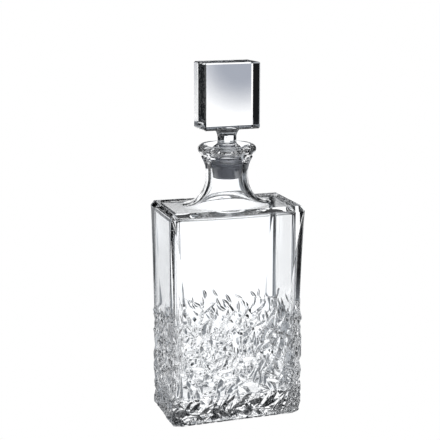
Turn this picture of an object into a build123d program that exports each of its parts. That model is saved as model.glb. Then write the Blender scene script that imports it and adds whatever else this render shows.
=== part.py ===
"""Cut crystal decanter: a square-shouldered glass bottle with a block stopper.

Millimetres, +Z up, the origin at the centre of the base, on the surface it stands on.
X runs across the wide front, Y from the front (-Y) to the back (+Y).
The object is three pieces: the bottle, the solid glass stopper, and the ribbed
sleeve on the stopper's peg that seals the neck.
"""
from build123d import *
from math import atan, cos, degrees, pi, sin, sqrt
import os

# --- bottle body ---
body_width = 107.6          # X
body_depth = 60.0           # Y
shoulder_height = 170.0     # base to the flat of the shoulder
wall = 5.2                  # side walls
base_thickness = 18.0       # heavy solid base
shoulder_thickness = 5.5    # glass over the cavity
bevel_inset = 2.0           # cut band round the shoulder's edge, measured inwards
bevel_drop = 4.0            # the same band, measured down the walls
cavity_corner = 5.0         # radius of the cavity's upright edges
cavity_fillet = 4.6         # radius round the cavity's floor and ceiling
base_edge = 1.6             # ground edge round the foot

# --- corner scoops: each upright corner is cut away by a slowly deepening scoop ---
scoop_front_width = 12.6    # its width on the front or back face, at its lower end
scoop_side_width = 7.0      # its width on the side face, at its lower end
scoop_bottom = 86.0         # height of its lower end
scoop_lip = 5.0             # rise of the rounded lip at its lower end
scoop_curve = 0.65          # it deepens as this power of the distance below its top
corner_front_width = 5.6    # plain cut corner below the scoop, on the front or back
cut_reach = 12.0            # how far the cutting tool stands out past the corner

# --- neck: radii grow outwards from the bore, heights upwards from the shoulder ---
bore_radius = 12.7
neck_wall = 3.8             # at the waist, the narrowest place
waist_rise = 22.0           # shoulder to waist
flare_reach = 20.0          # how far the neck's foot spreads along X
flare_margin = 0.6          # flat left between the flare and the bevel, front and back
collar_spread = 3.7         # how far the flared collar stands out from the waist
collar_foot_rise = 5.6      # waist to the foot of the collar
collar_depth = 9.6          # foot of the collar to its lip
groove_depth = 1.1          # groove between collar and rim
rim_spread = 6.3            # how far the rim stands out from the waist
rim_rise = 24.8             # waist to the top of the rim
rim_roll = 3.6              # radius of the rim's rounded section
seat_drop = 7.0             # rim's top down to where the conical mouth meets the bore

# --- stopper ---
block_width = 45.2          # X
block_depth = 25.5          # Y
block_height = 51.0
block_edge = 1.0            # ground edges of the block
block_rise = 12.4           # rim's top to the block's underside
stopper_turn = 3.0          # degrees: how the stopper stands about the neck's axis
stem_radius = 7.4
stem_rise = 2.2             # rim's top to the straight part of the stem
stem_length = 3.2           # straight part of the stem
block_foot_radius = 11.4    # the stem's flare where it joins the block
flange_overhang = 0.8       # how much wider than the bore the glass flange is
peg_end = 1.0               # how far the peg's end stands above the sleeve's end
peg_rounding = 0.8

# --- seal ---
seal_length = 18.9
seal_wall = 3.2             # at a rib
skirt_step = 0.9            # how much slimmer the smooth skirt below the ribs is
skirt_taper = 0.6           # and how much slimmer again at its lower end
rib_count = 3
rib_pitch = 3.1
rib_height = 0.9
seal_rounding = 1.4

# --- clearances ---
seat_gap = 0.3              # stopper flange to mouth, and flange to sleeve
bore_gap = 0.3              # sleeve to bore
peg_gap = 0.05              # peg to sleeve, a running fit

# --- places that follow from the sizes above ---
waist_height = shoulder_height + waist_rise
waist_radius = bore_radius + neck_wall
rim_height = waist_height + rim_rise
rim_radius = waist_radius + rim_spread
collar_foot_height = waist_height + collar_foot_rise
collar_height = collar_foot_height + collar_depth
collar_radius = waist_radius + collar_spread
roll_centre_radius = rim_radius - rim_roll
roll_centre_height = rim_height - rim_roll
seat_height = rim_height - seat_drop
seal_top_height = seat_height - seat_gap
seal_radius = bore_radius - bore_gap
seal_bore_radius = seal_radius - seal_wall
peg_radius = seal_bore_radius - peg_gap
flange_radius = bore_radius + flange_overhang
stem_bottom_height = rim_height + stem_rise
stem_top_height = stem_bottom_height + stem_length
block_bottom_height = rim_height + block_rise

os.makedirs("parts", exist_ok=True)


def solid_of_revolution(outline):
    """Turn a closed outline of (radius, height) points about the Z axis."""
    return revolve(Plane.XZ * make_face(outline), Axis.Z)


def flare_sections(top_radius, reach_x, reach_y, top_height, drop, steps=7):
    """Quarter-ellipse trumpet: a round top that spreads into a wider oval foot."""
    sections = []
    for step in range(steps + 1):
        turn = (pi / 2) * step / steps
        spread = 1 - cos(turn)
        height = top_height - drop * sin(turn)
        oval = Ellipse(top_radius + reach_x * spread, top_radius + reach_y * spread)
        sections.append(Location((0, 0, height)) * oval)
    return sections


def body_block():
    """Upright block with the bevelled band round its shoulder and a ground foot."""
    straight = extrude(Rectangle(body_width, body_depth), shoulder_height - bevel_drop)
    top_plane = Plane.XY.offset(shoulder_height - bevel_drop)
    bevel_taper = degrees(atan(bevel_inset / bevel_drop))
    band = extrude(top_plane * Rectangle(body_width, body_depth), bevel_drop, taper=bevel_taper)
    block = straight + band
    foot = block.edges().group_by(Axis.Z)[0]
    return chamfer(foot, base_edge)


def corner_scoop(side_x, side_y):
    """Cutter for one upright corner: the long scoop, its lip, and the plain cut below."""
    slant = sqrt(scoop_front_width ** 2 + scoop_side_width ** 2)
    scoop_depth = scoop_front_width * scoop_side_width / slant
    plain_depth = scoop_depth * corner_front_width / scoop_front_width
    scoop_top = shoulder_height - bevel_drop
    fall = scoop_top - scoop_bottom
    curve = [(scoop_depth * part ** scoop_curve, scoop_top - fall * part)
             for part in (0.0, 0.04, 0.12, 0.25, 0.45, 0.7, 1.0)]
    lip_end = (plain_depth, scoop_bottom - scoop_lip)
    lip = ThreePointArc(curve[-1], ((scoop_depth + plain_depth) / 2 + 0.25 * plain_depth,
                                    scoop_bottom - 0.72 * scoop_lip), lip_end)
    below = -cut_reach
    outline = Spline(*curve)
    outline += lip
    outline += Polyline(lip_end, (plain_depth, below), (-cut_reach, below),
                        (-cut_reach, scoop_top), curve[0])
    # The profile's first axis points inwards from the corner, its second one up.
    inwards = Vector(-side_x * scoop_side_width, -side_y * scoop_front_width, 0).normalized()
    corner = Vector(side_x * body_width / 2, side_y * body_depth / 2, 0)
    profile_plane = Plane(origin=corner, x_dir=inwards, z_dir=inwards.cross(Vector(0, 0, 1)))
    return extrude(profile_plane * make_face(outline), 2 * slant, both=True)


def neck_solid():
    """Oval flare at the shoulder, round neck, flared collar, groove and rounded rim."""
    flare_y = body_depth / 2 - bevel_inset - flare_margin - waist_radius
    flare = loft(flare_sections(waist_radius, flare_reach, flare_y, waist_height, waist_rise))
    roll_foot = (roll_centre_radius + rim_roll * cos(pi / 4),
                 roll_centre_height - rim_roll * sin(pi / 4))
    groove = (collar_radius - groove_depth, (collar_height + roll_foot[1]) / 2)
    collar_foot = (waist_radius, collar_foot_height - collar_depth / 5)
    outline = Polyline((0, rim_height), (0, waist_height), (waist_radius, waist_height),
                       collar_foot)
    outline += Spline(collar_foot,
                      (waist_radius + collar_spread / 4, collar_foot_height + collar_depth / 7),
                      (collar_radius, collar_height), tangents=[(0, 1), (0.35, 1)])
    outline += Polyline((collar_radius, collar_height), groove, roll_foot)
    outline += ThreePointArc(roll_foot, (rim_radius, roll_centre_height),
                             (roll_centre_radius, rim_height))
    outline += Line((roll_centre_radius, rim_height), (0, rim_height))
    return flare + solid_of_revolution(outline)


def cavity_solid():
    """The hollow: a rounded box, a flare into the neck, the bore and the conical mouth."""
    width = body_width - 2 * wall
    depth = body_depth - 2 * wall
    ceiling = shoulder_height - shoulder_thickness
    room = extrude(Plane.XY.offset(base_thickness) * RectangleRounded(width, depth, cavity_corner),
                   ceiling - base_thickness)
    level_edges = room.edges().group_by(Axis.Z)
    room = fillet(level_edges[0] + level_edges[-1], cavity_fillet)

    reach_x = flare_reach + neck_wall
    reach_y = depth / 2 - cavity_fillet - bore_radius
    drop = waist_height - ceiling
    flare = loft(flare_sections(bore_radius, reach_x, reach_y, waist_height, drop))

    lip_radius = roll_centre_radius - rim_roll
    cone_top = seat_height + lip_radius - bore_radius
    below_waist = waist_height - 1
    above_rim = rim_height + 1
    outline = Polyline((0, below_waist), (bore_radius, below_waist), (bore_radius, seat_height),
                       (lip_radius, cone_top), (lip_radius, roll_centre_height))
    outline += ThreePointArc((lip_radius, roll_centre_height),
                             (roll_centre_radius - rim_roll * cos(pi / 4),
                              roll_centre_height + rim_roll * sin(pi / 4)),
                             (roll_centre_radius, rim_height))
    outline += Polyline((roll_centre_radius, rim_height), (roll_centre_radius, above_rim),
                        (0, above_rim), (0, below_waist))
    return room + flare + solid_of_revolution(outline)


def make_bottle():
    body = body_block()
    for side_x in (-1, 1):
        for side_y in (-1, 1):
            body -= corner_scoop(side_x, side_y)
    return body + neck_solid() - cavity_solid()


def make_stopper():
    """Block, stem, flange and peg in one piece of glass."""
    block = Location((0, 0, block_bottom_height + block_height / 2)) * Box(
        block_width, block_depth, block_height)
    block = chamfer(block.edges(), block_edge)

    # The flange's underside lies parallel to the mouth's 45 degree cone, seat_gap away from it.
    flange_height = seat_height + flange_overhang + seat_gap * sqrt(2)
    flange_foot = flange_radius - (flange_height - seat_height)
    peg_bottom = seal_top_height - seal_length + peg_end
    inside_block = block_bottom_height + block_edge
    outline = Polyline((0, inside_block), (0, peg_bottom),
                       (peg_radius - peg_rounding, peg_bottom),
                       (peg_radius, peg_bottom + peg_rounding),
                       (peg_radius, seat_height), (flange_foot, seat_height),
                       (flange_radius, flange_height))
    outline += Spline((flange_radius, flange_height),
                      (0.48 * stem_radius + 0.52 * flange_radius,
                       (flange_height + stem_bottom_height) / 2),
                      (stem_radius, stem_bottom_height),
                      tangents=[(-1.0, 0.55), (0, 1)])
    outline += Line((stem_radius, stem_bottom_height), (stem_radius, stem_top_height))
    outline += Spline((stem_radius, stem_top_height),
                      (0.74 * stem_radius + 0.26 * block_foot_radius,
                       0.42 * stem_top_height + 0.58 * block_bottom_height),
                      (block_foot_radius, block_bottom_height),
                      tangents=[(0, 1), (1.0, 0.45)])
    outline += Polyline((block_foot_radius, block_bottom_height),
                        (block_foot_radius, inside_block), (0, inside_block))
    stopper = block + solid_of_revolution(outline)
    return Rot(0, 0, stopper_turn) * stopper


def make_seal():
    """Translucent sleeve on the peg: ribs at the top, a smooth tapering skirt below them."""
    bottom = seal_top_height - seal_length
    groove = seal_radius - rib_height
    skirt_top = (seal_radius - skirt_step, seal_top_height - rib_count * rib_pitch)
    lower = skirt_top[0] - skirt_taper
    skirt_foot = (lower, bottom + seal_rounding)
    outline = Polyline((seal_bore_radius, bottom), (lower - seal_rounding, bottom))
    outline += ThreePointArc((lower - seal_rounding, bottom),
                             (lower - seal_rounding * (1 - cos(pi / 4)),
                              bottom + seal_rounding * (1 - sin(pi / 4))),
                             skirt_foot)
    ribs = [skirt_foot, skirt_top]
    for rib in range(rib_count):
        rib_low = skirt_top[1] + rib * rib_pitch
        ribs += [(seal_radius, rib_low + 0.35 * rib_pitch), (seal_radius, rib_low + 0.7 * rib_pitch),
                 (groove, rib_low + rib_pitch)]
    ribs += [(seal_bore_radius, seal_top_height), (seal_bore_radius, bottom)]
    outline += Polyline(*ribs)
    return solid_of_revolution(outline)


pieces = {
    "bottle": make_bottle(),
    "stopper": make_stopper(),
    "stopper_seal": make_seal(),
}

for name, shape in pieces.items():
    shape.label = name
    export_step(shape, f"parts/{name}.step")
    size = shape.bounding_box().size
    print(f"{name}: {size.X:.1f} x {size.Y:.1f} x {size.Z:.1f} mm, {shape.volume / 1000:.1f} cm3")

room = cavity_solid() & Location((0, 0, base_thickness)) * Cylinder(
    body_width, waist_height - base_thickness, align=(Align.CENTER, Align.CENTER, Align.MIN))
print(f"holds about {room.volume / 1000:.0f} ml to the neck's waist")
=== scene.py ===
"""Looks of the cut crystal decanter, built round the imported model. Metres, +Z up."""
from math import cos, pi, radians, sin, sqrt

import bpy
import numpy as np
from mathutils import Matrix, Vector


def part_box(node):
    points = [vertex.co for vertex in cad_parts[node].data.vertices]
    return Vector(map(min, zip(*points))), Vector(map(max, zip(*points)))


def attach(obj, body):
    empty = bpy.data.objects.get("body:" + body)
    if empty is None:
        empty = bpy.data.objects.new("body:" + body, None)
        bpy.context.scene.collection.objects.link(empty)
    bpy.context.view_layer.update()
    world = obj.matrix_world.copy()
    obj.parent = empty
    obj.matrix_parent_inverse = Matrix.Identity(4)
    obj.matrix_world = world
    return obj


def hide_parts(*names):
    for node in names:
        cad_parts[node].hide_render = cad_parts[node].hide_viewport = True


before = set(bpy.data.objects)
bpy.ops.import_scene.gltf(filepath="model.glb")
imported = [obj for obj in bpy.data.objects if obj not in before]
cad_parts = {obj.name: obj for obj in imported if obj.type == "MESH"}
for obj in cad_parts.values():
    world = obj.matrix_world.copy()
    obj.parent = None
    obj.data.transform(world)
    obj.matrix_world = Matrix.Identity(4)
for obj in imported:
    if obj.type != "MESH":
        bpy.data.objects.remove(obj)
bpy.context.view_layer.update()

# --- sizes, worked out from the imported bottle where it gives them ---
bottle_low, bottle_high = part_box("bottle")
half_width = (bottle_high.x - bottle_low.x) / 2
half_depth = (bottle_high.y - bottle_low.y) / 2
rim_height = bottle_high.z
MM = 0.001

shoulder_height = rim_height - 46.8 * MM
bevel_inset = 2.0 * MM
bevel_drop = 4.0 * MM
bevel_bow = 1.6 * MM            # the cut band is this much deeper in the middle of a wide side
band_corner = 0.15 * MM         # the band's corners are cut off by next to nothing
foot_edge = 1.6 * MM
wall = 5.2 * MM
base_thickness = 18.0 * MM
shoulder_thickness = 5.5 * MM
cavity_corner = 5.0 * MM
cavity_fillet = 4.6 * MM        # rounding round the cavity's floor
ceiling_fillet = 2.0 * MM       # and round its ceiling, where the edge looks crisper
CORNER_NARROWING = 0.6          # how much the cavity's corners tighten towards its floor
foot_hollow = 0.9 * MM          # shallow hollow under the base
foot_rim = 6.0 * MM             # width of the ring it stands on
# Rings of the hollow: share of the way out to the foot's ring, and share of the full rise.
UNDERSIDE = ((0.25, 1.0), (0.6, 0.85), (0.9, 0.35), (1.0, 0.0))

scoop_front = 12.6 * MM
scoop_side = 7.0 * MM
scoop_bottom = 86.0 * MM
scoop_lip = 5.0 * MM
SCOOP_CURVE = 0.65              # power of the distance from its top by which it deepens
corner_front = 5.6 * MM

bore_radius = 12.7 * MM
waist_radius = 16.5 * MM
waist_height = shoulder_height + 22.0 * MM
flare_reach = 20.0 * MM
flare_margin = 0.6 * MM
collar_radius = waist_radius + 3.7 * MM
collar_foot_height = waist_height + 5.6 * MM
collar_lead = 2.0 * MM          # the neck starts to widen this far below the collar's foot
collar_height = collar_foot_height + 9.6 * MM
groove_depth = 1.1 * MM
groove_rise = 0.9 * MM          # the groove's height above the collar's edge
rim_radius = waist_radius + 6.3 * MM
rim_roll = 3.6 * MM
ROLL_FROM, ROLL_TO = -52, 186.56    # degrees round the rim's roll, from outside over the top
seat_height = rim_height - 7.0 * MM

# --- mesh fineness: segments of one ring round the body ---
FRONT_SEGMENTS = 280
SIDE_SEGMENTS = 156
CORNER_SEGMENTS = 12
CUT_STEP = 0.36 * MM            # height of one row of faces where the glass is cut
UPPER_RINGS = 34                # rings of the plain walls above
SLIGHT_SHARE = 0.03             # the scoop's share of its full depth at the last of them
BOW_REACH = 12.0 * MM           # the walls' last stretch, whose rings follow the bowed band
FLARE_STEPS = 32                # rings of a flare, outside and inside
ROLL_RINGS = 22
CEILING_RINGS, ROOM_RINGS, FLOOR_RINGS = 15, 12, 9

rng = np.random.default_rng(7)


class Skin:
    """A surface built ring by ring, each ring running anticlockwise seen from above."""

    def __init__(self):
        self.points, self.faces, self.rings = [], [], []
        self.count = 0
        self.sharp_rings, self.sharp_columns = set(), []

    def ring(self, points, sharp=False):
        start = self.count
        self.points.append(np.asarray(points, float))
        self.count += len(points)
        ids = np.arange(start, self.count)
        if self.rings:
            self._bridge(self.rings[-1], ids)
        self.rings.append(ids)
        if sharp:
            self.sharp_rings.add(len(self.rings) - 1)

    def _bridge(self, low, high):
        """Quads between two rings, or wider faces where one has several times the points."""
        if len(low) == len(high):
            nxt_low, nxt_high = np.roll(low, -1), np.roll(high, -1)
            self.faces += np.stack([low, nxt_low, nxt_high, high], 1).tolist()
        elif len(low) > len(high):
            step = len(low) // len(high)
            for i in range(len(high)):
                run = [low[(i * step + j) % len(low)] for j in range(step + 1)]
                self.faces.append(run + [high[(i + 1) % len(high)], high[i]])
        else:
            step = len(high) // len(low)
            for i in range(len(low)):
                run = [high[(i * step + j) % len(high)] for j in range(step, -1, -1)]
                self.faces.append([low[i], low[(i + 1) % len(low)]] + run)

    def cap_start(self, centre):
        """Close the first ring with a fan that looks down."""
        first = self.rings[0]
        self.points.append(np.array([centre]))
        apex = self.count
        self.count += 1
        self.faces += [[apex, b, a] for a, b in zip(first, np.roll(first, -1))]

    def cap_end(self, centre):
        """Close the last ring with a fan that looks up."""
        last = self.rings[-1]
        self.points.append(np.array([centre]))
        apex = self.count
        self.count += 1
        self.faces += [[a, b, apex] for a, b in zip(last, np.roll(last, -1))]

    def mesh(self, name):
        data = bpy.data.meshes.new(name)
        data.from_pydata(np.concatenate(self.points).tolist(), [], self.faces)
        data.validate()
        for polygon in data.polygons:
            polygon.use_smooth = True
        piece = bpy.data.objects.new(name, data)
        bpy.context.scene.collection.objects.link(piece)
        self._mark_sharp(data)
        return piece

    def _mark_sharp(self, data):
        ring_of = np.full(len(data.vertices), -1)
        column_of = np.full(len(data.vertices), -1)
        for number, ids in enumerate(self.rings):
            ring_of[ids] = number
            column_of[ids] = np.arange(len(ids))
        ends = np.zeros(len(data.edges) * 2, int)
        data.edges.foreach_get("vertices", ends)
        ends = ends.reshape(-1, 2)
        ring_a, ring_b = ring_of[ends[:, 0]], ring_of[ends[:, 1]]
        col_a, col_b = column_of[ends[:, 0]], column_of[ends[:, 1]]
        sharp = (ring_a == ring_b) & np.isin(ring_a, list(self.sharp_rings))
        for first, last, columns in self.sharp_columns:
            inside = (ring_a >= first) & (ring_a <= last) & (ring_b >= first) & (ring_b <= last)
            sharp |= (col_a == col_b) & np.isin(col_a, columns) & inside
        layer = data.attributes.new("sharp_edge", "BOOLEAN", "EDGE")
        layer.data.foreach_set("value", sharp.astype(bool))


# --- the body's ring ---

def body_ring(hw, hd, cut_front, cut_side, z):
    """Rectangle with its four corners cut off, from the front left corner round."""
    corners = [(-hw + cut_front, -hd), (hw - cut_front, -hd), (hw, -hd + cut_side),
               (hw, hd - cut_side), (hw - cut_front, hd), (-hw + cut_front, hd),
               (-hw, hd - cut_side), (-hw, -hd + cut_side)]
    segments = [FRONT_SEGMENTS, CORNER_SEGMENTS, SIDE_SEGMENTS, CORNER_SEGMENTS] * 2
    runs = []
    for number, segment in enumerate(segments):
        start, stop = np.array(corners[number]), np.array(corners[(number + 1) % 8])
        share = np.arange(segment)[:, None] / segment
        runs.append(start + (stop - start) * share)
    flat = np.concatenate(runs)
    return np.column_stack([flat, np.full(len(flat), z)])


RING_POINTS = 2 * (FRONT_SEGMENTS + SIDE_SEGMENTS + 2 * CORNER_SEGMENTS)
CREASE_COLUMNS = np.cumsum([0, FRONT_SEGMENTS, CORNER_SEGMENTS, SIDE_SEGMENTS, CORNER_SEGMENTS,
                            FRONT_SEGMENTS, CORNER_SEGMENTS, SIDE_SEGMENTS])
# First column of each side or corner, and of the one after it: side, corner, side and so on.
RUNS = list(zip(CREASE_COLUMNS, [*CREASE_COLUMNS[1:], RING_POINTS]))
corner_side = corner_front * scoop_side / scoop_front
PLAIN = body_ring(half_width, half_depth, corner_front, corner_side, 0.0)


def unrolled(ring):
    """Distance of each ring point round the body, with the cut corners counted square."""
    x, y = ring[:, 0], ring[:, 1]
    width, depth = 2 * half_width, 2 * half_depth
    along = np.empty(len(ring))
    side_distances = (x + half_width, width + half_depth + y, width + depth + half_width - x,
                      2 * width + depth + half_depth - y)
    for number, distance in enumerate(side_distances):
        low, high = RUNS[2 * number]
        along[low:high] = distance[low:high]
        low, high = RUNS[2 * number + 1]
        after = high % len(ring)
        gap = abs(x[after] - x[low]) + abs(y[after] - y[low])
        along[low:high] = distance[low] + gap * np.arange(high - low) / (high - low)
    return along


def on_corner():
    """True for the ring points that lie on a cut corner."""
    mask = np.zeros(RING_POINTS, bool)
    for low, high in RUNS[1::2]:
        mask[low:high + 1] = True
    mask[0] = True
    return mask


PERIMETER = 4 * (half_width + half_depth)


def inward(ring):
    """Unit vectors into the glass, smoothed over the cut corners."""
    nxt, prev = np.roll(ring, -1, 0), np.roll(ring, 1, 0)
    tangent = nxt[:, :2] - prev[:, :2]
    normal = np.column_stack([-tangent[:, 1], tangent[:, 0]])
    return normal / np.linalg.norm(normal, axis=1)[:, None]


# --- the cut pattern ---

class Cuts:
    """Leaf-shaped mitre cuts, laid over the unrolled walls as a field of depths."""

    def __init__(self):
        self.leaves = []

    def leaf(self, along, height, lean, half_length, half_breadth, depth, bend):
        self.leaves.append((along, height, lean, half_length, half_breadth, depth, bend))

    def depth_at(self, along, height):
        """Deepest cut at each point of the arrays."""
        result = np.zeros_like(along)
        for place, rise, lean, half_length, half_breadth, depth, bend in self.leaves:
            du = (along - place + PERIMETER / 2) % PERIMETER - PERIMETER / 2
            dz = height - rise
            reach = half_length + half_breadth
            near = (np.abs(du) < reach) & (np.abs(dz) < reach)
            if not near.any():
                continue
            u, v = du[near], dz[near]
            s = u * sin(lean) + v * cos(lean)
            t = u * cos(lean) - v * sin(lean)
            t = t - bend * (s / half_length) ** 2 * half_breadth
            profile = depth * (1 - (s / half_length) ** 2) - depth / half_breadth * np.abs(t)
            result[near] = np.maximum(result[near], profile)
        return result


DENSE_TOP = 78 * MM             # the walls are fully cut below this height
RAGGED_TOP = 101 * MM           # single cuts reach up to this height
CROWD_ROWS = 13                 # rows of leaves in the fully cut part
CROWD_ROW_HEIGHT = DENSE_TOP / MM / CROWD_ROWS
MOST_BEND = 0.9                 # a leaf's greatest bend, as a share of its half breadth

# Layers of leaves, with lengths in millimetres: how many, heights from and to, the lean's mean
# and spread in degrees, and the ranges of half length, half breadth and steepness.
CROWD = [(40, (row * CROWD_ROW_HEIGHT, (row + 1) * CROWD_ROW_HEIGHT), (12, 50), (5.5, 10),
          (2.2, 3.8), (0.42, 0.62)) for row in range(CROWD_ROWS)]
THINNING = [(58, (75, 84), (20, 36), (5, 8), (1.4, 2.1), (0.5, 0.75)),
            (36, (82, 90), (18, 34), (4.5, 6.5), (1.1, 1.6), (0.65, 0.95))]
FOOT_LEAVES = [(40, (4, 15), (50, 38), (8, 12), (2.4, 3.4), (0.45, 0.6))]


def scatter(cuts, count, heights, lean, half_length, half_breadth, steepness):
    """Add one layer of leaves, spread evenly round the body at random heights."""
    for number in range(count):
        along = (number + rng.uniform(0, 1)) * PERIMETER / count
        breadth = rng.uniform(*half_breadth) * MM
        height = rng.uniform(*heights) * MM
        angle = rng.normal(radians(lean[0]), radians(lean[1]))
        length = rng.uniform(*half_length) * MM
        depth = breadth * rng.uniform(*steepness)
        bend = rng.uniform(-MOST_BEND, MOST_BEND)
        cuts.leaf(along, height, angle, length, breadth, depth, bend)


def cut_pattern():
    """Crowded leaves below, thinning out to single ones at a ragged upper edge."""
    cuts = Cuts()
    for layer in CROWD + THINNING + FOOT_LEAVES:
        scatter(cuts, *layer)
    return cuts


def scoop_share(z):
    """How deep the corner scoop is at a height, as a share of its greatest depth."""
    plain = corner_front / scoop_front
    if z >= scoop_bottom:
        start = shoulder_height - bevel_drop
        return (max(start - z, 0) / (start - scoop_bottom)) ** SCOOP_CURVE
    lip = (scoop_bottom - z) / scoop_lip
    if lip < 1:
        return plain + (1 - plain) * sqrt(1 - lip ** 2)
    return plain


def body_heights():
    """Heights of the rings up the body: fine where the glass is cut, wider above."""
    fine = np.arange(foot_edge, RAGGED_TOP, CUT_STEP)
    scoop_top = shoulder_height - bevel_drop
    shares = np.linspace(scoop_share(RAGGED_TOP), SLIGHT_SHARE, UPPER_RINGS)
    upper = scoop_top - (scoop_top - scoop_bottom) * shares ** (1 / SCOOP_CURVE)
    return np.concatenate([fine, upper])


def bevel_bow_at(z):
    """How far each ring point at this height hangs down to follow the bowed shoulder band."""
    blend = min(max((z - (shoulder_height - bevel_drop - BOW_REACH)) / BOW_REACH, 0), 1)
    bow = bevel_bow * np.cos(np.clip(PLAIN[:, 0] / half_width, -1, 1) * pi / 2)
    return bow * (np.abs(PLAIN[:, 1]) > half_depth - 1e-6) * blend ** 2 * (3 - 2 * blend)


# Rings with half as many points, and their directions in a frame where the body is a square.
HALF = slice(None, None, 2)
FINE_ANGLES = np.arctan2(PLAIN[HALF, 1] / half_depth, PLAIN[HALF, 0] / half_width)


def oval_ring(radius_x, radius_y, z):
    return np.column_stack([radius_x * np.cos(FINE_ANGLES), radius_y * np.sin(FINE_ANGLES),
                            np.full(len(FINE_ANGLES), z)])


def flare_ring(radius, reach_x, reach_y, top, foot, share):
    """Ring of a quarter-ellipse flare: share 0 is its upright top, 1 its foot."""
    turn = pi / 2 * share
    spread = 1 - cos(turn)
    return oval_ring(radius + reach_x * spread, radius + reach_y * spread,
                     top - (top - foot) * sin(turn))


def room_ring(hw, hd, corner, z):
    """Rectangle with rounded corners, with a point for each of the finer angles."""
    square = PLAIN[HALF, :2] / (half_width, half_depth)
    square = square / np.abs(square).max(1)[:, None]
    flat = square * (hw, hd)
    centre = np.sign(flat) * (hw - corner, hd - corner)
    away = flat - centre
    outside = (np.abs(flat[:, 0]) > hw - corner) & (np.abs(flat[:, 1]) > hd - corner)
    reach = np.linalg.norm(away, axis=1)[:, None]
    rounded = centre + away / np.maximum(reach, 1e-9) * corner
    flat[outside] = rounded[outside]
    return np.column_stack([flat, np.full(len(flat), z)])


def add_underside(skin):
    """A shallow hollow inside the ring that the bottle stands on."""
    inner = PLAIN[HALF]
    hollow_share = 1 - foot_rim / half_depth
    for scale, rise in UNDERSIDE:
        ring = inner * (scale * hollow_share)
        ring[:, 2] = rise * foot_hollow
        skin.ring(ring)
    skin.cap_start((0, 0, foot_hollow))
    foot = body_ring(half_width - foot_edge, half_depth - foot_edge, corner_front, corner_side, 0)
    skin.ring(foot, sharp=True)


def add_walls(skin, cuts):
    """Walls with the cut pattern and the scooped corners."""
    plain_part = ~on_corner()
    for z in body_heights():
        share = scoop_share(z)
        ring = body_ring(half_width, half_depth, scoop_front * share, scoop_side * share, z)
        if z < RAGGED_TOP:
            depth = cuts.depth_at(unrolled(ring), np.full(len(ring), z))
            if z > scoop_bottom - scoop_lip:
                depth *= plain_part
            ring[:, :2] += inward(ring) * depth[:, None]
        ring[:, 2] -= bevel_bow_at(z)
        skin.ring(ring)


def add_shoulder(skin):
    """Bevelled band, bowed downwards along the wide sides, and the flare into the neck."""
    band_foot = shoulder_height - bevel_drop
    lower = body_ring(half_width, half_depth, band_corner, band_corner, band_foot)
    lower[:, 2] -= bevel_bow_at(band_foot)
    skin.ring(lower, sharp=True)
    top = body_ring(half_width - bevel_inset, half_depth - bevel_inset, band_corner, band_corner,
                    shoulder_height)
    skin.ring(top, sharp=True)
    # The band's corners are crisp. The scoops' long edges are left soft, as if polished.
    skin.sharp_columns.append((len(skin.rings) - 2, len(skin.rings) - 1, CREASE_COLUMNS))
    flare_y = half_depth - bevel_inset - flare_margin - waist_radius
    for step in range(FLARE_STEPS, -1, -1):
        skin.ring(flare_ring(waist_radius, flare_reach, flare_y, waist_height, shoulder_height,
                             step / FLARE_STEPS))


def add_cavity(skin):
    """The flare under the neck, the rounded room and its floor."""
    ceiling = shoulder_height - shoulder_thickness
    room_x, room_y = half_width - wall, half_depth - wall
    inner_x = flare_reach + waist_radius - bore_radius
    inner_y = room_y - ceiling_fillet - bore_radius
    for step in range(1, FLARE_STEPS + 1):
        skin.ring(flare_ring(bore_radius, inner_x, inner_y, waist_height, ceiling,
                             step / FLARE_STEPS))
    for turn in np.linspace(0, pi / 2, CEILING_RINGS):
        inset = ceiling_fillet * (1 - sin(turn))
        skin.ring(room_ring(room_x - inset, room_y - inset, cavity_corner,
                            ceiling - ceiling_fillet * (1 - cos(turn))))
    wall_heights = np.linspace(ceiling - ceiling_fillet, base_thickness + cavity_fillet, ROOM_RINGS)
    for z in wall_heights[1:-1]:
        skin.ring(room_ring(room_x, room_y, cavity_corner, z))
    for turn in np.linspace(0, pi / 2, FLOOR_RINGS):
        inset = cavity_fillet * (1 - cos(turn))
        skin.ring(room_ring(room_x - inset, room_y - inset,
                            cavity_corner - inset * CORNER_NARROWING,
                            base_thickness + cavity_fillet * (1 - sin(turn))))
    for scale in (0.66, 0.33):
        skin.ring(room_ring(room_x * scale, room_y * scale,
                            cavity_corner * scale * CORNER_NARROWING, base_thickness))
    skin.cap_end((0, 0, base_thickness))


def build_bottle():
    skin = Skin()
    add_underside(skin)
    add_walls(skin, cut_pattern())
    add_shoulder(skin)
    for radius, z, sharp in neck_profile():
        skin.ring(oval_ring(radius, radius, z), sharp)
    add_cavity(skin)
    return skin.mesh("cut_bottle")


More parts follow.
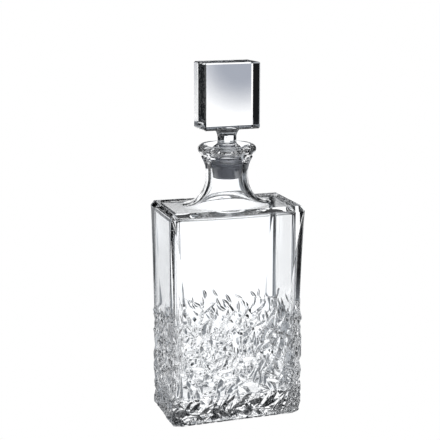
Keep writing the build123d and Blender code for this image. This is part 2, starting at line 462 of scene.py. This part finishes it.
def neck_profile():
    """(radius, height, sharp) up the outside of the neck, over the rim and down to the bore."""
    collar_start = collar_foot_height - collar_lead
    points = [(waist_radius, waist_height + share * (collar_start - waist_height), False)
              for share in np.linspace(0, 1, 5)[1:]]
    for share in np.linspace(0, 1, 13)[1:]:
        # Slow at first, then faster, up to the collar's edge.
        swell = (collar_radius - waist_radius) * (0.35 * share ** 2 + 0.65 * share ** 1.6)
        points.append((waist_radius + swell, collar_start + share * (collar_height - collar_start),
                       share == 1))
    points.append((collar_radius - groove_depth, collar_height + groove_rise, True))

    roll_radius, roll_height = rim_radius - rim_roll, rim_height - rim_roll
    for turn in np.linspace(radians(ROLL_FROM), radians(ROLL_TO), ROLL_RINGS):
        points.append((roll_radius + rim_roll * cos(turn), roll_height + rim_roll * sin(turn),
                       False))

    # A straight cone from the rim's lip to the bore, as deep as it is wide.
    lip = roll_radius - rim_roll
    for share in (0, 0.35, 0.7, 1):
        points.append((lip + (bore_radius - lip) * share,
                       seat_height + (lip - bore_radius) * (1 - share), share in (0, 1)))
    for share in np.linspace(0, 1, 6)[1:]:
        points.append((bore_radius, seat_height + share * (waist_height - seat_height), False))
    return points


# --- materials ---

def new_material(name):
    material = bpy.data.materials.new(name)
    material.use_nodes = True
    nodes, links = material.node_tree.nodes, material.node_tree.links
    nodes.clear()
    output = nodes.new("ShaderNodeOutputMaterial")
    shader = nodes.new("ShaderNodeBsdfPrincipled")
    links.new(shader.outputs[0], output.inputs["Surface"])
    return material, nodes, links, shader


def crystal_material(name, waviness):
    """Clear lead crystal: fire-polished, very slightly wavy, with faint handling marks."""
    material, nodes, links, shader = new_material(name)
    shader.inputs["Base Color"].default_value = (0.985, 0.992, 1.0, 1)
    shader.inputs["Transmission Weight"].default_value = 1.0
    shader.inputs["IOR"].default_value = 1.53
    place = nodes.new("ShaderNodeTexCoord")
    waves = nodes.new("ShaderNodeTexNoise")
    waves.inputs["Scale"].default_value = 60
    waves.inputs["Detail"].default_value = 2
    links.new(place.outputs["Object"], waves.inputs["Vector"])
    bump = nodes.new("ShaderNodeBump")
    bump.inputs["Strength"].default_value = waviness
    bump.inputs["Distance"].default_value = 0.0004
    links.new(waves.outputs["Fac"], bump.inputs["Height"])
    links.new(bump.outputs["Normal"], shader.inputs["Normal"])
    marks = nodes.new("ShaderNodeTexNoise")
    marks.inputs["Scale"].default_value = 240
    links.new(place.outputs["Object"], marks.inputs["Vector"])
    polish = nodes.new("ShaderNodeMapRange")
    polish.inputs["From Min"].default_value = 0.55
    polish.inputs["From Max"].default_value = 0.8
    polish.inputs["To Min"].default_value = 0.0
    polish.inputs["To Max"].default_value = 0.05
    links.new(marks.outputs["Fac"], polish.inputs["Value"])
    links.new(polish.outputs["Result"], shader.inputs["Roughness"])
    return material


def seal_material():
    """Milky translucent plastic with a lilac tint."""
    material, nodes, links, shader = new_material("seal_plastic")
    place = nodes.new("ShaderNodeTexCoord")
    cloud = nodes.new("ShaderNodeTexNoise")
    cloud.inputs["Scale"].default_value = 180
    links.new(place.outputs["Object"], cloud.inputs["Vector"])
    tint = nodes.new("ShaderNodeMix")
    tint.data_type = "RGBA"
    tint.inputs["A"].default_value = (0.74, 0.76, 0.83, 1)
    tint.inputs["B"].default_value = (0.84, 0.86, 0.92, 1)
    links.new(cloud.outputs["Fac"], tint.inputs["Factor"])
    links.new(tint.outputs["Result"], shader.inputs["Base Color"])
    shader.inputs["Transmission Weight"].default_value = 0.5
    shader.inputs["IOR"].default_value = 1.45
    shader.inputs["Roughness"].default_value = 0.4
    return material


# --- studio ---

# White panels round the object: azimuth from and to (0 is +Y, 90 is +X), elevation from and to,
# and brightness. Clear glass shows what is behind it, so the main views have one each.
PANELS = [
    (5, 28, -60, -9, 1.0),
    (12, 27, -12, 1, 1.0),
    (-13, 13, -12, 7, 1.0),
    (-57, -33, -37, -15, 1.0),
    (-103, -77, -13, 7, 1.0),
    (121, 149, -27, -3, 1.0),
    (-20, 50, -42, -14, 0.2),
    (-82, -52, -30, -12, 0.85),
    (50, 85, -30, -12, 0.4),
    (150, 185, 20, 60, 0.9),
    (-185, -140, 20, 60, 0.9),
    (150, 185, -48, -33, 0.3),
    (-185, -140, -48, -33, 0.3),
]
PANEL_EDGE = 4.0                # degrees over which a panel fades
# Light from all round, by elevation: a pale floor, dark walls and a dim ceiling.
SURROUND = [(-90, 1.0), (-62, 1.0), (-50, 0.15), (-42, 0.03), (-30, 0.012), (-15, 0.01),
            (25, 0.01), (45, 0.03), (60, 0.15), (90, 0.25)]
# A soft grey card, high behind the stopper: its place, and the reach of its core and its edge.
CARD_AZIMUTH, CARD_ELEVATION = 19.2, -4.5
CARD_CORE, CARD_REACH = 0.9, 3.4
CARD_TONE = (0.33, 0.35, 0.40, 1)
SHADE_TINT = (0.82, 0.9, 1.0, 1)   # the dark parts of the studio are a cool grey
STUDIO_STRENGTH = 1.3


def studio_world():
    """Panels, dark gaps and a grey card, seen by the glass. The camera sees plain white."""
    world = bpy.data.worlds.new("studio")
    bpy.context.scene.world = world
    world.use_nodes = True
    nodes, links = world.node_tree.nodes, world.node_tree.links
    nodes.clear()

    def fill(node, values):
        for socket, value in zip(node.inputs, values):
            if isinstance(value, (int, float, tuple)):
                socket.default_value = value
            else:
                links.new(value, socket)

    def math(operation, *values):
        node = nodes.new("ShaderNodeMath")
        node.operation = operation
        fill(node, values)
        return node.outputs[0]

    def rising(value, low, high):
        node = nodes.new("ShaderNodeMapRange")
        node.interpolation_type = "SMOOTHSTEP"
        fill(node, (value, float(low), float(high), 0.0, 1.0))
        return node.outputs[0]

    def window(value, low, high):
        return math("MULTIPLY", rising(value, low - PANEL_EDGE, low),
                    rising(value, high + PANEL_EDGE, high))

    direction = nodes.new("ShaderNodeTexCoord").outputs["Generated"]
    split = nodes.new("ShaderNodeSeparateXYZ")
    links.new(direction, split.inputs[0])
    x, y, z = split.outputs
    azimuth = math("MULTIPLY", math("ARCTAN2", x, y), 180 / pi)
    elevation = math("MULTIPLY", math("ARCSINE", z), 180 / pi)

    surround = nodes.new("ShaderNodeValToRGB")
    stops = surround.color_ramp.elements
    while len(stops) < len(SURROUND):
        stops.new(0.5)
    for stop, (angle, level) in zip(stops, SURROUND):
        stop.position = (angle + 90) / 180
        stop.color = (level, level, level, 1)
    links.new(math("ADD", math("DIVIDE", elevation, 180.0), 0.5), surround.inputs["Fac"])
    light = surround.outputs["Color"]
    for left, right, low, high, level in PANELS:
        panel = math("MULTIPLY", window(azimuth, left, right), window(elevation, low, high))
        light = math("MAXIMUM", light, math("MULTIPLY", panel, float(level)))

    off_card = math("SQRT", math(
        "ADD", math("POWER", math("SUBTRACT", azimuth, CARD_AZIMUTH), 2.0),
        math("POWER", math("SUBTRACT", elevation, CARD_ELEVATION), 2.0)))
    card = nodes.new("ShaderNodeMix")
    card.data_type = "RGBA"
    card.inputs["A"].default_value = CARD_TONE
    card.inputs["B"].default_value = (1, 1, 1, 1)
    links.new(rising(off_card, CARD_CORE, CARD_REACH), card.inputs["Factor"])
    tint = nodes.new("ShaderNodeMix")
    tint.data_type = "RGBA"
    tint.inputs["A"].default_value = SHADE_TINT
    tint.inputs["B"].default_value = (1, 1, 1, 1)
    links.new(light, tint.inputs["Factor"])
    tinted = nodes.new("ShaderNodeVectorMath")
    tinted.operation = "MULTIPLY"
    links.new(card.outputs["Result"], tinted.inputs[0])
    links.new(tint.outputs["Result"], tinted.inputs[1])
    toned = nodes.new("ShaderNodeVectorMath")
    toned.operation = "SCALE"
    links.new(tinted.outputs[0], toned.inputs[0])
    links.new(light, toned.inputs["Scale"])

    background = nodes.new("ShaderNodeBackground")
    links.new(toned.outputs[0], background.inputs["Color"])
    background.inputs["Strength"].default_value = STUDIO_STRENGTH
    plain = nodes.new("ShaderNodeBackground")
    plain.inputs["Color"].default_value = (1, 1, 1, 1)
    seen = nodes.new("ShaderNodeLightPath").outputs["Is Camera Ray"]
    mix = nodes.new("ShaderNodeMixShader")
    links.new(seen, mix.inputs[0])
    links.new(background.outputs[0], mix.inputs[1])
    links.new(plain.outputs[0], mix.inputs[2])
    output = nodes.new("ShaderNodeOutputWorld")
    links.new(mix.outputs[0], output.inputs["Surface"])


FLOOR_REACH = 30.0
FLOOR_DROP = 0.2 * MM           # just below the base, so that the two don't share a plane


def make_floor():
    """A plain white floor that only the camera sees, so it stays out of the glass."""
    data = bpy.data.meshes.new("floor")
    corners = [(-1, -1), (1, -1), (1, 1), (-1, 1)]
    data.from_pydata([(x * FLOOR_REACH, y * FLOOR_REACH, 0) for x, y in corners], [], [(0, 1, 2, 3)])
    floor = bpy.data.objects.new("floor", data)
    bpy.context.scene.collection.objects.link(floor)
    floor.location.z = -FLOOR_DROP
    material = bpy.data.materials.new("pale_floor")
    material.use_nodes = True
    nodes, links = material.node_tree.nodes, material.node_tree.links
    nodes.clear()
    glow = nodes.new("ShaderNodeEmission")
    glow.inputs["Color"].default_value = (1, 1, 1, 1)
    glow.inputs["Strength"].default_value = 1.0
    output = nodes.new("ShaderNodeOutputMaterial")
    links.new(glow.outputs[0], output.inputs["Surface"])
    data.materials.append(material)
    floor.visible_transmission = False
    floor.visible_glossy = False
    floor.visible_diffuse = False


def make_camera():
    """Slightly left of the front and a little above, with a long lens. Metres."""
    azimuth, elevation = radians(-18.15), radians(12.54)
    distance, sideways, upward = 0.9249, -0.0053, 0.15256
    focal_pixels, frame_pixels = 1133, 440
    back = Vector((sin(azimuth) * cos(elevation), -cos(azimuth) * cos(elevation), sin(elevation)))
    right = Vector((0, 0, 1)).cross(back).normalized()
    up = back.cross(right)
    data = bpy.data.cameras.new("camera")
    data.sensor_width = 36
    data.lens = focal_pixels * data.sensor_width / frame_pixels
    camera = bpy.data.objects.new("camera", data)
    bpy.context.scene.collection.objects.link(camera)
    place = back * distance + right * sideways + up * upward
    camera.matrix_world = Matrix((
        (right.x, up.x, back.x, place.x), (right.y, up.y, back.y, place.y),
        (right.z, up.z, back.z, place.z), (0, 0, 0, 1)))
    bpy.context.scene.camera = camera


def settings():
    scene = bpy.context.scene
    scene.view_settings.view_transform = "Standard"
    scene.cycles.max_bounces = 28
    scene.cycles.transmission_bounces = 28
    scene.cycles.glossy_bounces = 12
    scene.cycles.caustics_reflective = True
    scene.cycles.caustics_refractive = True
    scene.cycles.use_denoising = True


settings()
studio_world()
make_floor()
make_camera()

bottle = build_bottle()
bottle.data.materials.append(crystal_material("crystal", 0.02))
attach(bottle, "bottle_body")
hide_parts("bottle")

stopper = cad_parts["stopper"]
stopper.data.materials.clear()
stopper.data.materials.append(crystal_material("stopper_crystal", 0.03))
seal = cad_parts["stopper_seal"]
seal.data.materials.clear()
seal.data.materials.append(seal_material())
